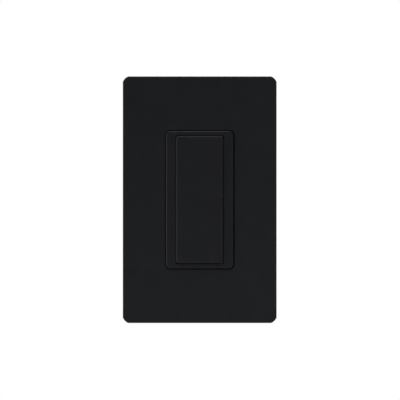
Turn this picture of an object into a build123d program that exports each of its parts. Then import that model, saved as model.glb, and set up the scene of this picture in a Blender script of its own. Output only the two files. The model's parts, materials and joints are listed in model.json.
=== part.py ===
"""Single-gang electronic wall switch: a flat momentary rocker and a pull-out tab in a screwless wallplate.

Units are millimetres. The origin is on the wall's surface, midway between the two wall-box screws.
+Z is up, +X is to the right as seen from the room, and the switch faces -Y. What lies at +Y is inside
the wall box. Depths below are Y values: the front of the rocker is the lowest, and the back of the rear
enclosure the highest.
"""

import os
from math import radians, tan

from build123d import *

# ---------------------------------------------------------------- front view
plate_width = 74.5
plate_height = 119.5
corner_leg = 2.6  # the plate's corners are cut back this far along each side
corner_bulge_radius = 5.0  # and closed by a shallow arc of this radius
window_width = 33.5
window_height = 67.4
window_radius = 2.6
bezel_width = 32.9
bezel_height = 66.8
bezel_radius = 2.2
edge_round = 0.85  # rounded front edges of the bezel, the rocker and the tab
well_width = 23.15
well_height = 62.2
rocker_width = 22.8
rocker_height = 61.7
tab_width = 17.0
tab_side_gap = 0.22
plate_corner_round = 0.9
plate_front_round = 0.6

# ---------------------------------------------------------------- depths
rocker_front = -9.6
bezel_front = -8.4
plate_front = -7.6
plate_inside = -5.6
collar_rear = -3.2
adapter_front = -4.0
lip_rear = -2.8
yoke_front = -1.5
wall = 0.0
flange_rear = 2.0
control_board_front = 3.0
board_thickness = 1.6
power_board_front = 22.6
housing_rear = 24.4
enclosure_inside = 28.0
enclosure_rear = 30.0

# ---------------------------------------------------------------- standard single-gang spacings
box_screw_z = 83.34 / 2
plate_screw_z = 96.8 / 2
board_screw_x = 15.0

# ---------------------------------------------------------------- motion
pivot_depth = -5.2
pivot_radius = 1.4
pivot_clearance = 0.06
actuator_z = 24.0
tab_travel = 3.2

# ---------------------------------------------------------------- body shared by the flange and the enclosure
body_width = 43.0
body_height = 69.0
body_radius = 3.0
body_screw = (18.7, 30.6)  # x and z of the four screws that clamp the housing to the yoke
screw_clearance = 1.3
enclosure_wall = 1.8
seam_chamfer = 0.25

# ---------------------------------------------------------------- terminals
terminal_z = 14.0
terminal_depth = 14.2
terminal_places = [(1, terminal_z), (1, -terminal_z), (-1, terminal_z)]  # (side, z)
pocket_floor = 15.0
pocket_half_height = 5.8
pocket_half_depth = 5.8
pocket_wall = 1.4

FOUR_WAYS = [(1, 1), (-1, 1), (-1, -1), (1, -1)]
UP_DOWN = (1, -1)


def facing(depth):
    """The plane at that depth, seen from the room: its x is X, its y is Z, and it looks towards -Y."""
    return Plane.XZ.offset(-depth)


def looking_forwards(depth, x, z):
    """A plane at that depth whose normal points into the room."""
    return Plane(origin=(x, depth, z), x_dir=(1, 0, 0), z_dir=(0, -1, 0))


def looking_back(depth, x, z):
    """A plane at that depth whose normal points into the wall."""
    return Plane(origin=(x, depth, z), x_dir=(1, 0, 0), z_dir=(0, 1, 0))


def block(width, height, rear, front, centre=(0, 0), radius=0.0, mode=Mode.ADD):
    """A rectangle centred at (x, z), with corners of that radius, running between two depths."""
    with BuildSketch(facing(rear)) as outline:
        with Locations(centre):
            if radius:
                RectangleRounded(width, height, radius)
            else:
                Rectangle(width, height)
    extrude(outline.sketch, amount=rear - front, mode=mode)


def span_block(x_range, y_range, z_range, mode=Mode.ADD):
    """A box given by its range along each axis."""
    size = [high - low for low, high in (x_range, y_range, z_range)]
    middle = tuple((high + low) / 2 for low, high in (x_range, y_range, z_range))
    with Locations(middle):
        Box(*size, mode=mode)


def rod(radius, rear, front, centre=(0, 0), mode=Mode.ADD):
    """A round bar along Y, centred at (x, z)."""
    with BuildSketch(facing(rear)) as outline:
        with Locations(centre):
            Circle(radius)
    extrude(outline.sketch, amount=rear - front, mode=mode)


def cross_rod(radius, x_low, x_high, y, z, mode=Mode.ADD):
    """A round bar along X."""
    with BuildSketch(Plane.YZ.offset(x_low)) as outline:
        with Locations((y, z)):
            Circle(radius)
    extrude(outline.sketch, amount=x_high - x_low, mode=mode)


def long_rod(radius, z_low, z_high, x, y, mode=Mode.ADD):
    """A round bar along Z."""
    with BuildSketch(Plane.XY.offset(z_low)) as outline:
        with Locations((x, y)):
            Circle(radius)
    extrude(outline.sketch, amount=z_high - z_low, mode=mode)


def edges_at(builder, depth):
    """The edges that lie wholly at one depth."""
    return builder.edges().filter_by_position(Axis.Y, depth, depth)


def write(builder, name):
    """Labels a finished piece and writes its STEP file."""
    builder.part.label = name
    export_step(builder.part, f"parts/{name}.step")


os.makedirs("parts", exist_ok=True)


# ================================================================ wallplate
def plate_outline():
    """The wallplate's outline: straight sides that meet in shallow corner arcs."""
    half_width, half_height = plate_width / 2, plate_height / 2
    with BuildSketch(facing(wall)) as outline:
        with BuildLine():
            top = Line((0, half_height), (half_width - corner_leg, half_height))
            corner = RadiusArc(top @ 1, (half_width, half_height - corner_leg), corner_bulge_radius)
            Line(corner @ 1, (half_width, 0))
            mirror(about=Plane.YZ)
            mirror(about=Plane.XZ)
        make_face()
    return outline.sketch


shell_wall = 1.8
collar_wall = 1.2
lip_width, lip_height = 67.4, 112.2  # outline of the adapter's catch lip
hook_gap, hook_thickness, hook_reach, hook_length = 0.2, 1.0, 0.9, 8.0
hook_rear = -1.7
side_hooks_z = (-36.0, 0.0, 36.0)
end_hooks_x = (-18.0, 18.0)
rest_pad = (7.0, 1.6)
rest_pad_places = [(27.0, 47.0), (27.0, 15.0)]
pry_notch_half_width = 4.0
pry_notch_front = -1.4


def hook(along_x, side, place):
    """A snap hook: a leg off the plate's inside face, with a barb that turns in behind the adapter's lip."""
    lip = (lip_width if along_x else lip_height) / 2
    leg = sorted((side * (lip + hook_gap), side * (lip + hook_gap + hook_thickness)))
    barb = sorted((side * (lip + hook_gap), side * (lip + hook_gap - hook_reach)))
    length = (place - hook_length / 2, place + hook_length / 2)
    for across, depths in ((leg, (plate_inside, hook_rear)), (barb, (lip_rear + 0.2, hook_rear))):
        if along_x:
            span_block(across, depths, length)
        else:
            span_block(length, depths, across)


with BuildPart() as wallplate_cover:
    extrude(plate_outline(), amount=wall - plate_front)
    fillet(wallplate_cover.edges().filter_by(Axis.Y), radius=plate_corner_round)
    fillet(edges_at(wallplate_cover, plate_front), radius=plate_front_round)
    hollow_outline = offset(plate_outline(), amount=-shell_wall, mode=Mode.PRIVATE)
    extrude(hollow_outline, amount=wall - plate_inside, mode=Mode.SUBTRACT)
    collar_size = (window_width + 2 * collar_wall, window_height + 2 * collar_wall)
    block(*collar_size, collar_rear, plate_inside - 0.1, radius=window_radius + collar_wall)
    block(window_width, window_height, wall, plate_front, radius=window_radius, mode=Mode.SUBTRACT)
    for side in (1, -1):
        for z in side_hooks_z:
            hook(True, side, z)
        for x in end_hooks_x:
            hook(False, side, x)
    # pads that rest on the adapter, and a pry notch in the bottom edge
    for side_x, side_z in FOUR_WAYS:
        for x, z in rest_pad_places:
            block(*rest_pad, adapter_front, plate_inside - 0.1, centre=(side_x * x, side_z * z))
    notch_height = (-plate_height / 2 - 1, -plate_height / 2 + shell_wall + 0.5)
    span_block((-pry_notch_half_width, pry_notch_half_width), (pry_notch_front, 0.5), notch_height,
               mode=Mode.SUBTRACT)
    window_rim = edges_at(wallplate_cover, plate_front).filter_by(
        lambda edge: abs(edge.center().X) < plate_width / 3 and abs(edge.center().Z) < plate_height / 3
    )
    fillet(window_rim, radius=0.2)
write(wallplate_cover, "wallplate_cover")

screw_head_radius = 3.2
adapter_body_width, adapter_body_height = 65.2, 110.0
adapter_opening = (36.9, 70.9)
adapter_opening_radius = 3.4
standoff_size, standoff_place = 7.0, (27.5, 49.5)
side_slot, side_slot_place = (5.0, 26.0), (26.5, 24.0)
end_slot, end_slot_place = (9.0, 4.6), (15.0, 46.0)
head_room, head_room_z = (8.0, 10.4), 39.7
with BuildPart() as wallplate_adapter:
    block(adapter_body_width, adapter_body_height, yoke_front, lip_rear, radius=3.0)
    block(lip_width, lip_height, lip_rear, adapter_front, radius=3.6)
    fillet(edges_at(wallplate_adapter, adapter_front), radius=0.4)
    for side_x, side_z in FOUR_WAYS:
        standoff_centre = (side_x * standoff_place[0], side_z * standoff_place[1])
        block(standoff_size, standoff_size, wall, yoke_front, centre=standoff_centre, radius=1.5)
        for size, (x, z), radius in ((side_slot, side_slot_place, 2.4), (end_slot, end_slot_place, 2.2)):
            block(*size, yoke_front, adapter_front, centre=(side_x * x, side_z * z), radius=radius,
                  mode=Mode.SUBTRACT)
    block(*adapter_opening, yoke_front, adapter_front, radius=adapter_opening_radius, mode=Mode.SUBTRACT)
    for side in UP_DOWN:
        # room for the head of each wall-box screw, open to the middle
        block(*head_room, yoke_front, adapter_front, centre=(0, side * head_room_z), radius=1.2,
              mode=Mode.SUBTRACT)
        with Locations(looking_forwards(adapter_front, 0, side * plate_screw_z)):
            CounterSinkHole(radius=2.0, counter_sink_radius=screw_head_radius + 0.05, counter_sink_angle=82)
write(wallplate_adapter, "wallplate_adapter")


# ================================================================ screws
def drive_recess(radius, depth, slot=True):
    """A cross recess, with a slot across the head for a flat driver, cut downwards from the XY plane."""
    with BuildSketch(Plane.XY) as cross:
        Rectangle(1.15 * radius, 0.26 * radius)
        Rectangle(0.26 * radius, 1.15 * radius)
    extrude(cross.sketch, amount=-depth, taper=8, mode=Mode.SUBTRACT)
    if slot:
        with BuildSketch(Plane.XY) as groove:
            Rectangle(2.2 * radius, 0.24 * radius)
        extrude(groove.sketch, amount=-0.5 * depth, mode=Mode.SUBTRACT)


def pan_screw(head_radius, head_height, neck_radius, neck_length, shank_radius, shank_length):
    """A pan-head screw along Z: the head's top is at z = 0, with the neck and the threaded shank below it."""
    with BuildPart() as screw:
        with BuildSketch(Plane.XZ) as profile:
            with BuildLine():
                crown = head_height * 0.55
                Polyline((0, 0), (head_radius * 0.55, 0))
                shoulder = (head_radius * 0.88, -0.3 * crown)
                ThreePointArc((head_radius * 0.55, 0), shoulder, (head_radius, -crown))
                Polyline(
                    (head_radius, -crown),
                    (head_radius, -head_height),
                    (neck_radius, -head_height),
                    (neck_radius, -head_height - neck_length),
                    (shank_radius, -head_height - neck_length),
                    (shank_radius, -head_height - neck_length - shank_length + 0.6),
                    (shank_radius - 0.6, -head_height - neck_length - shank_length),
                    (0, -head_height - neck_length - shank_length),
                    (0, 0),
                )
            make_face()
        revolve(profile.sketch, axis=Axis.Z)
        drive_recess(head_radius, head_height * 0.7)
    return screw.part


def flat_screw(head_radius, shank_radius, length):
    """A countersunk screw along Z, with its flat head's top at z = 0."""
    cone = (head_radius - shank_radius) / tan(radians(41))
    with BuildPart() as screw:
        with BuildSketch(Plane.XZ) as profile:
            with BuildLine():
                Polyline(
                    (0, 0),
                    (head_radius, 0),
                    (shank_radius, -cone),
                    (shank_radius, -length + 0.5),
                    (shank_radius - 0.5, -length),
                    (0, -length),
                    (0, 0),
                )
            make_face()
        revolve(profile.sketch, axis=Axis.Z)
        drive_recess(head_radius, 1.3)
    return screw.part


def place(piece, planes):
    """Adds copies of a piece, each standing on a plane whose normal the piece's Z follows."""
    for plane in planes:
        add(plane * piece)


head_height = 2.0
retainer_thickness = 0.4
retainer_size = 8.4
with BuildPart() as box_screws:
    neck = wall - yoke_front + retainer_thickness + 0.05
    one = pan_screw(3.1, head_height, 1.45, neck, 1.75, 19.5)
    place(one, [looking_forwards(yoke_front - head_height, 0, side * box_screw_z) for side in UP_DOWN])
write(box_screws, "box_screws")

with BuildPart() as screw_retainers:
    for side in UP_DOWN:
        centre = (0, side * box_screw_z)
        block(retainer_size, retainer_size, retainer_thickness, wall, centre=centre, radius=0.8)
        rod(1.47, retainer_thickness, wall, centre=centre, mode=Mode.SUBTRACT)
write(screw_retainers, "screw_retainers")

with BuildPart() as adapter_screws:
    one = flat_screw(screw_head_radius, 1.7, 7.0)
    place(one, [looking_forwards(adapter_front, 0, side * plate_screw_z) for side in UP_DOWN])
write(adapter_screws, "adapter_screws")

# ================================================================ mounting yoke
yoke_width, yoke_height = 44.4, 106.4
yoke_opening = (33.6, 67.5)
ear_neck, ear_neck_z = (6.2, 1.2), 38.4
ear_hole_place = (15.5, 46.5)
tapped_hole = 1.72
ground_tab_z = -42.0
ground_tab_reach = 9.5
ground_tab_half = 3.5
ground_screw_depth = 5.2
with BuildPart() as mounting_yoke:
    block(yoke_width, yoke_height, wall, yoke_front, radius=1.2)
    block(*yoke_opening, wall, yoke_front, radius=2.5, mode=Mode.SUBTRACT)
    for side in UP_DOWN:
        with BuildSketch(facing(wall)) as slots:
            with Locations((0, side * box_screw_z)):
                SlotOverall(6.6, 3.7)
        extrude(slots.sketch, amount=wall - yoke_front, mode=Mode.SUBTRACT)
        rod(2.4, 1.0, wall, centre=(0, side * plate_screw_z))
        rod(tapped_hole, 1.0, yoke_front, centre=(0, side * plate_screw_z), mode=Mode.SUBTRACT)
    for side_x, side_z in FOUR_WAYS:
        # necks that let the plaster ears snap off, a hole in each ear, and the enclosure screw's hole
        neck_place = (side_x * (yoke_width / 2 - 2.6), side_z * ear_neck_z)
        block(*ear_neck, wall, yoke_front, centre=neck_place, radius=0.5, mode=Mode.SUBTRACT)
        for radius, (x, z) in ((1.9, ear_hole_place), (1.12, body_screw)):
            rod(radius, wall, yoke_front, centre=(side_x * x, side_z * z), mode=Mode.SUBTRACT)
    # the ground tab, bent back from the yoke's left edge
    tab_outer = -yoke_width / 2
    tab_plate = (tab_outer, tab_outer + 1.5)
    tab_height = (ground_tab_z - ground_tab_half, ground_tab_z + ground_tab_half)
    span_block(tab_plate, (yoke_front, ground_tab_reach), tab_height)
    for side in UP_DOWN:
        relief_z = ground_tab_z + side * (ground_tab_half + 0.5)
        span_block((tab_outer - 1, tab_outer + 3.0), (yoke_front - 1, 1.0), (relief_z - 0.5, relief_z + 0.5),
                   mode=Mode.SUBTRACT)
    upright = mounting_yoke.edges().filter_by(Axis.Z).filter_by_position(Axis.X, tab_outer, tab_outer)
    front_upright = upright.filter_by_position(Axis.Y, yoke_front, yoke_front)
    bend = front_upright.filter_by_position(Axis.Z, ground_tab_z - 0.1, ground_tab_z + 0.1)
    fillet(bend, radius=1.2)
    cross_rod(1.9, tab_outer - 1, tab_outer + 3, ground_screw_depth, ground_tab_z, mode=Mode.SUBTRACT)
    front_edges = edges_at(mounting_yoke, yoke_front)
    chamfer(front_edges.filter_by(lambda edge: abs(edge.center().Z) > yoke_height / 2 - 0.6), length=0.2)
write(mounting_yoke, "mounting_yoke")

ground_head_height = 2.6
with BuildPart() as ground_screw:
    head_front = tab_outer - ground_head_height
    head = Plane(origin=(head_front, ground_screw_depth, ground_tab_z), x_dir=(0, 1, 0), z_dir=(-1, 0, 0))
    with BuildSketch(head):
        RegularPolygon(radius=3.4, side_count=6)
    extrude(amount=-2.0)
    chamfer(ground_screw.edges().filter_by_position(Axis.X, head_front, head_front), length=0.35)
    cross_rod(4.1, tab_outer - 0.8, tab_outer, ground_screw_depth, ground_tab_z)
    cross_rod(1.86, tab_outer, tab_outer + 7.0, ground_screw_depth, ground_tab_z)
    span_block((head_front - 0.4, head_front + 1.0), (ground_screw_depth - 4, ground_screw_depth + 4),
               (ground_tab_z - 0.5, ground_tab_z + 0.5), mode=Mode.SUBTRACT)
write(ground_screw, "ground_screw")

# ================================================================ bezel
skin = 1.5
board_hole = 0.85
side_hollow, side_hollow_place = (1.9, 22.0), (14.0, 16.5)
pivot_reach = 1.75
notch_half = tab_width / 2 + tab_side_gap
tongue_slot_half = 6.25
well_bottom = -well_height / 2
groove_front = -1.6 - tab_travel - 0.1
notch_rear = -0.3
with BuildPart() as bezel_frame:
    block(bezel_width, bezel_height, wall, bezel_front, radius=bezel_radius)
    fillet(edges_at(bezel_frame, bezel_front), radius=edge_round)
    block(body_width, body_height, flange_rear, wall, radius=body_radius)
    chamfer(edges_at(bezel_frame, flange_rear), length=seam_chamfer)
    block(well_width, well_height, flange_rear, bezel_front, radius=0.5, mode=Mode.SUBTRACT)
    # hollow side walls, solid again at the pivots and at the board screws
    for side_x, side_z in FOUR_WAYS:
        hollow_centre = (side_x * side_hollow_place[0], side_z * side_hollow_place[1])
        block(*side_hollow, flange_rear, bezel_front + skin, centre=hollow_centre, radius=0.6,
              mode=Mode.SUBTRACT)
        screw_place = (side_x * body_screw[0], side_z * body_screw[1])
        rod(screw_clearance, flange_rear, wall, centre=screw_place, mode=Mode.SUBTRACT)
    for side in (1, -1):
        reach = sorted((side * well_width / 2, side * (well_width / 2 + pivot_reach)))
        bearing = pivot_radius + pivot_clearance
        cross_rod(bearing, *reach, pivot_depth, 0, mode=Mode.SUBTRACT)
        span_block(reach, (pivot_depth, flange_rear), (-bearing + 0.12, bearing - 0.12), mode=Mode.SUBTRACT)
        rod(1.4, control_board_front, flange_rear, centre=(side * board_screw_x, 0))
        rod(board_hole, control_board_front, -2.6, centre=(side * board_screw_x, 0), mode=Mode.SUBTRACT)
        # groove that guides and stops the service tab's rib
        span_block(sorted((side * notch_half, side * (notch_half + 0.95))), (groove_front, notch_rear),
                   (well_bottom - 1.75, well_bottom - 0.45), mode=Mode.SUBTRACT)
    span_block((-notch_half, notch_half), (bezel_front - 1, notch_rear), (-33.55, well_bottom + 0.5),
               mode=Mode.SUBTRACT)
    tongue_slot = (-tongue_slot_half, tongue_slot_half)
    span_block(tongue_slot, (notch_rear - 0.1, flange_rear), (-32.5, well_bottom + 0.5), mode=Mode.SUBTRACT)
write(bezel_frame, "bezel_frame")

# ================================================================ rocker
rocker_rear = -4.2
rocker_skin = 1.8
rocker_wall = 1.4
rib_thickness = 1.2
rib_places_z = (-18.0, -9.0, 9.0, 18.0)
dome_top = -0.6
dome_roof = 0.9
post_tip_radius = 0.9  # each post's tip passes through its dome's roof and holds the contact pill
post_tip_end = 0.9
with BuildPart() as rocker_paddle:
    block(rocker_width, rocker_height, rocker_rear, rocker_front, radius=0.8)
    fillet(edges_at(rocker_paddle, rocker_front), radius=0.75)
    hollow = (rocker_width - 2 * rocker_wall, rocker_height - 2 * rocker_wall)
    block(*hollow, rocker_rear, rocker_front + rocker_skin, radius=0.6, mode=Mode.SUBTRACT)
    for z in rib_places_z:
        block(rocker_width - 1, rib_thickness, rocker_rear - 0.8, rocker_front + 1, centre=(0, z))
    block(rib_thickness, rocker_height - 1, rocker_rear - 1.4, rocker_front + 1)
    for side in (1, -1):
        pin_root = (side * (rocker_width / 2 - 1.9), 0)
        block(3.4, 6.4, rocker_rear + 0.6, rocker_front + 1, centre=pin_root, radius=0.6)
        pin = sorted((side * (rocker_width / 2 - 2), side * (rocker_width / 2 + pivot_reach)))
        cross_rod(pivot_radius, *pin, pivot_depth, 0)
    for side in UP_DOWN:
        rod(2.5, dome_top, rocker_front + 1, centre=(0, side * actuator_z))
        rod(post_tip_radius, post_tip_end, dome_top, centre=(0, side * actuator_z))
        block(8.4, 1.0, rocker_rear + 1.6, rocker_front + 1, centre=(0, side * actuator_z))
write(rocker_paddle, "rocker_paddle")

# ================================================================ service tab and its air-gap contact
tab_rear = -0.4
tongue_rear = 8.3
tongue_top = -31.25
tongue_bottom = -32.3
tongue_half = 6.0
bridge_thickness = 0.4
bridge_size = (15.0, 2.3)
bridge_z = -31.1
rivet_x = 5.6
rivet_radius = 1.1
contact_plane = 9.2
tab_bottom = -bezel_height / 2
rib_z = (well_bottom - 1.6, well_bottom - 0.6)
with BuildPart() as service_tab:
    span_block((-tab_width / 2, tab_width / 2), (bezel_front, tab_rear), (tab_bottom, well_bottom - 0.05))
    lower_edge = service_tab.edges().filter_by(Axis.X).sort_by(Axis.Y)[:2].sort_by(Axis.Z)[:1]
    fillet(lower_edge, radius=edge_round)
    span_block((-tongue_half, tongue_half), (tab_rear, tongue_rear), (tongue_bottom, tongue_top))
    span_block((-tongue_half, tongue_half), (tongue_rear - 1.5, tongue_rear), (tongue_bottom, bridge_z + 1.1))
    for side in (1, -1):
        span_block(sorted((side * (tab_width / 2 - 0.5), side * (notch_half + 0.8))), (-1.6, tab_rear), rib_z)
    rod(0.8, contact_plane, tongue_rear, centre=(0, bridge_z))
write(service_tab, "service_tab")

with BuildPart() as air_gap_bridge:
    block(*bridge_size, tongue_rear + bridge_thickness, tongue_rear, centre=(0, bridge_z), radius=0.4)
    rod(0.82, tongue_rear + bridge_thickness, tongue_rear, centre=(0, bridge_z), mode=Mode.SUBTRACT)
    for side in (1, -1):
        rod(rivet_radius, contact_plane, tongue_rear + bridge_thickness, centre=(side * rivet_x, bridge_z))
write(air_gap_bridge, "air_gap_bridge")

blade_z = -28.6
blade_thickness = 0.5
blade_half_width = 1.5
with BuildPart() as air_gap_blades:
    blade_front = contact_plane + 0.4
    for side in (1, -1):
        across = sorted((side * (rivet_x - blade_half_width), side * (rivet_x + blade_half_width)))
        blade_rear = power_board_front + board_thickness + 0.7
        span_block(across, (blade_front, blade_rear), (blade_z - blade_thickness, blade_z))
        span_block(across, (blade_front, blade_front + blade_thickness), (bridge_z - rivet_radius, blade_z))
        rod(rivet_radius, blade_front, contact_plane, centre=(side * rivet_x, bridge_z))
write(air_gap_blades, "air_gap_blades")

# ================================================================ keypad
keypad_width, keypad_height = 27.0, 58.0
dome_base_radius, dome_top_radius = 4.6, 2.7
dome_skin = 0.6
pill_gap = 0.95
with BuildPart() as silicone_keypad:
    block(keypad_width, keypad_height, control_board_front, flange_rear, radius=1.5)
    for side in (1, -1):
        # clear of the board-screw bosses
        rod(1.6, control_board_front, flange_rear, centre=(side * board_screw_x, 0), mode=Mode.SUBTRACT)
    for side in UP_DOWN:
        centre_z = side * actuator_z
        with BuildSketch(Plane.YZ) as dome:
            with BuildLine():
                Polyline(
                    (flange_rear, centre_z),
                    (flange_rear, centre_z + dome_base_radius),
                    (flange_rear - 0.4, centre_z + dome_base_radius),
                    (dome_top, centre_z + dome_top_radius),
                    (dome_top, centre_z),
                    (flange_rear, centre_z),
                )
            make_face()
        revolve(dome.sketch, axis=Axis((0, 0, centre_z), (0, 1, 0)))
        with BuildSketch(Plane.YZ) as hollow:
            with BuildLine():
                Polyline(
                    (control_board_front, centre_z),
                    (control_board_front, centre_z + dome_base_radius - 0.5),
                    (flange_rear - 0.4, centre_z + dome_base_radius - 0.7),
                    (dome_top + dome_roof, centre_z + dome_top_radius - dome_skin + 0.2),
                    (dome_top + dome_roof, centre_z),
                    (control_board_front, centre_z),
                )
            make_face()
        revolve(hollow.sketch, axis=Axis((0, 0, centre_z), (0, 1, 0)), mode=Mode.SUBTRACT)
        rod(post_tip_radius + 0.05, flange_rear, dome_top, centre=(0, centre_z), mode=Mode.SUBTRACT)
write(silicone_keypad, "silicone_keypad")

pad_thickness = 0.05
pill_radius = 1.9
pad_radius = 2.3
with BuildPart() as contact_pills:
    pill_front = dome_top + dome_roof
    pill_rear = control_board_front - pad_thickness - pill_gap
    for side in UP_DOWN:
        rod(pill_radius, pill_rear, pill_front, centre=(0, side * actuator_z))
        rod(post_tip_radius + 0.02, post_tip_end, pill_front, centre=(0, side * actuator_z), mode=Mode.SUBTRACT)
write(contact_pills, "contact_pills")

with BuildPart() as contact_pads:
    pad_span = (control_board_front, control_board_front - pad_thickness)
    for side in UP_DOWN:
        rod(pad_radius, *pad_span, centre=(0, side * actuator_z))
        # the gaps between each pad's interleaved fingers
        block(0.4, 4.2, *pad_span, centre=(0, side * actuator_z), mode=Mode.SUBTRACT)
        for step in (-1.2, 0.0, 1.2):
            block(3.0, 0.35, *pad_span, centre=(0, side * actuator_z + step), mode=Mode.SUBTRACT)
write(contact_pads, "contact_pads")

# ================================================================ circuit boards
control_board_height = 59.4
power_board_height = 64.0
board_width = 38.6
tower_radius = 2.6
lead_radius = 0.35
lead_end = power_board_front + board_thickness + 0.8

# where each part stands on the power board, and where its round leads pass through: (x, z)
relay_centre = (-12.9, -13.0)
film_capacitor_centre = (-1.0, -13.0)
resistor_centre = (1.5, -25.0)
varistor_centre = (7.4, -19.4)
choke_centre = (7.2, -7.4)
# each electrolytic capacitor's centre, radius, height and half its lead spacing
electrolytics = [((-5.5, 5.0), 4.0, 12.0, 1.75), ((3.6, 4.6), 3.15, 9.5, 1.25), ((11.4, 2.0), 2.5, 8.5, 1.0)]
transformer_centre = (0.0, 18.0)
rectifier_centre = (-7.0, 28.4)
header_centre = (7.6, 28.4)
header_pitch = 2.0

film_capacitor_leads = [(film_capacitor_centre[0], film_capacitor_centre[1] + side * 7.5) for side in UP_DOWN]
resistor_leads = [(resistor_centre[0] + side * 6.2, resistor_centre[1]) for side in UP_DOWN]
varistor_leads = [(varistor_centre[0] + side * 2.5, varistor_centre[1]) for side in UP_DOWN]
choke_leads = [(choke_centre[0] + side * 2.5, choke_centre[1]) for side in UP_DOWN]
electrolytic_leads = [
    (centre[0], centre[1] + side * spread)
    for centre, radius, height, spread in electrolytics
    for side in UP_DOWN
]
transformer_leads = [
    (transformer_centre[0] + side_x * 3.8, transformer_centre[1] + side_z * 5.2) for side_x, side_z in FOUR_WAYS
]
rectifier_leads = [
    (rectifier_centre[0] + side_x * 2.5, rectifier_centre[1] + side_z * 2.6) for side_x, side_z in FOUR_WAYS
]
header_leads = [
    (header_centre[0] + (column - 1.5) * header_pitch, header_centre[1] + row * header_pitch / 2)
    for column in range(4)
    for row in (-1, 1)
]
relay_coil_leads = [(relay_centre[0] + side * 3.6, -1.5) for side in UP_DOWN]
all_round_leads = (
    film_capacitor_leads + resistor_leads + varistor_leads + choke_leads + electrolytic_leads
    + transformer_leads + rectifier_leads + header_leads + relay_coil_leads
)


def board(front, height, notch):
    """A circuit board with its corners cut away to clear the screw towers."""
    rear = front + board_thickness
    block(board_width, height, rear, front)
    cut_x, cut_z = notch
    for side_x, side_z in FOUR_WAYS:
        corner = (side_x * board_width / 2, side_z * height / 2)
        block(2 * cut_x, 2 * cut_z, rear, front, centre=corner, mode=Mode.SUBTRACT)


def leads(places, start, end=lead_end, radius=lead_radius):
    """Round leads that run back through the power board."""
    for place_xz in places:
        rod(radius, end, start, centre=place_xz)


control_board_rear = control_board_front + board_thickness
with BuildPart() as control_board:
    board(control_board_front, control_board_height, (3.9, 2.6))
    for side in (1, -1):
        rod(1.0, control_board_rear, control_board_front, centre=(side * board_screw_x, 0), mode=Mode.SUBTRACT)
write(control_board, "control_board")

with BuildPart() as board_screws:
    one = pan_screw(1.7, 1.1, 0.75, 0.2, 0.82, 6.0)
    place(one, [looking_back(control_board_rear + 1.1, side * board_screw_x, 0) for side in (1, -1)])
write(board_screws, "board_screws")

chip_centre = (0.0, 10.0)
chip_size, chip_lead_pitch = 7.0, 0.8
with BuildPart() as microcontroller:
    block(chip_size, chip_size, control_board_rear + 1.2, control_board_rear + 0.15, centre=chip_centre)
    chamfer(edges_at(microcontroller, control_board_rear + 1.2), length=0.15)
    # each lead leaves the side, bends down and ends in a foot: start, end, rear and front
    lead_runs = [(3.4, 4.1, 0.75, 0.55), (3.9, 4.1, 0.75, 0.0), (3.9, 4.7, 0.2, 0.0)]
    for index in range(8):
        offset_along = (index - 3.5) * chip_lead_pitch
        for side in (1, -1):
            for start, end, rear, front in lead_runs:
                middle, length = side * (start + end) / 2, end - start
                block(length, 0.35, control_board_rear + rear, control_board_rear + front,
                      centre=(chip_centre[0] + middle, chip_centre[1] + offset_along))
                block(0.35, length, control_board_rear + rear, control_board_rear + front,
                      centre=(chip_centre[0] + offset_along, chip_centre[1] + middle))
write(microcontroller, "microcontroller")

resistor_places = [(x, top - 3.0 * index) for x, top in ((-10.0, 20.0), (9.0, 14.0)) for index in range(5)]
with BuildPart() as chip_resistors:
    for centre in resistor_places:
        block(2.0, 1.25, control_board_rear + 0.5, control_board_rear, centre=centre, radius=0.1)
write(chip_resistors, "chip_resistors")

capacitor_places = [(-6.5, 18.0), (-3.0, 18.0), (3.0, 18.0), (6.5, 18.0), (-6.5, 2.0), (6.5, 2.0)]
with BuildPart() as chip_capacitors:
    for centre in capacitor_places:
        block(1.25, 2.0, control_board_rear + 0.85, control_board_rear, centre=centre, radius=0.1)
write(chip_capacitors, "chip_capacitors")

transistor_places = [(-6.0, -5.0), (0.0, -5.0), (6.0, -5.0)]
with BuildPart() as driver_transistors:
    for x, z in transistor_places:
        block(2.9, 1.3, control_board_rear + 1.0, control_board_rear + 0.1, centre=(x, z))
        for lead_x, side in ((-0.95, -1), (0.95, -1), (0.0, 1)):
            block(0.4, 0.9, control_board_rear + 0.25, control_board_rear, centre=(x + lead_x, z + side * 0.85))
write(driver_transistors, "driver_transistors")

socket_depth = 5.0
header_outline = (4 * header_pitch + 0.4, 2 * header_pitch + 0.4)
with BuildPart() as board_socket:
    socket_rear = control_board_rear + socket_depth
    block(*header_outline, socket_rear, control_board_rear, centre=header_centre)
    for place_xz in header_leads:
        rod(0.3, socket_rear, control_board_rear + 1.0, centre=place_xz, mode=Mode.SUBTRACT)
write(board_socket, "board_socket")

header_body = 2.4
with BuildPart() as board_header:
    block(*header_outline, power_board_front, power_board_front - header_body, centre=header_centre)
    for place_xz in header_leads:
        rod(0.27, power_board_front, power_board_front - header_body, centre=place_xz, mode=Mode.SUBTRACT)
write(board_header, "board_header")

with BuildPart() as header_pins:
    leads(header_leads, control_board_rear + 1.6, radius=0.25)
write(header_pins, "header_pins")

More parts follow.
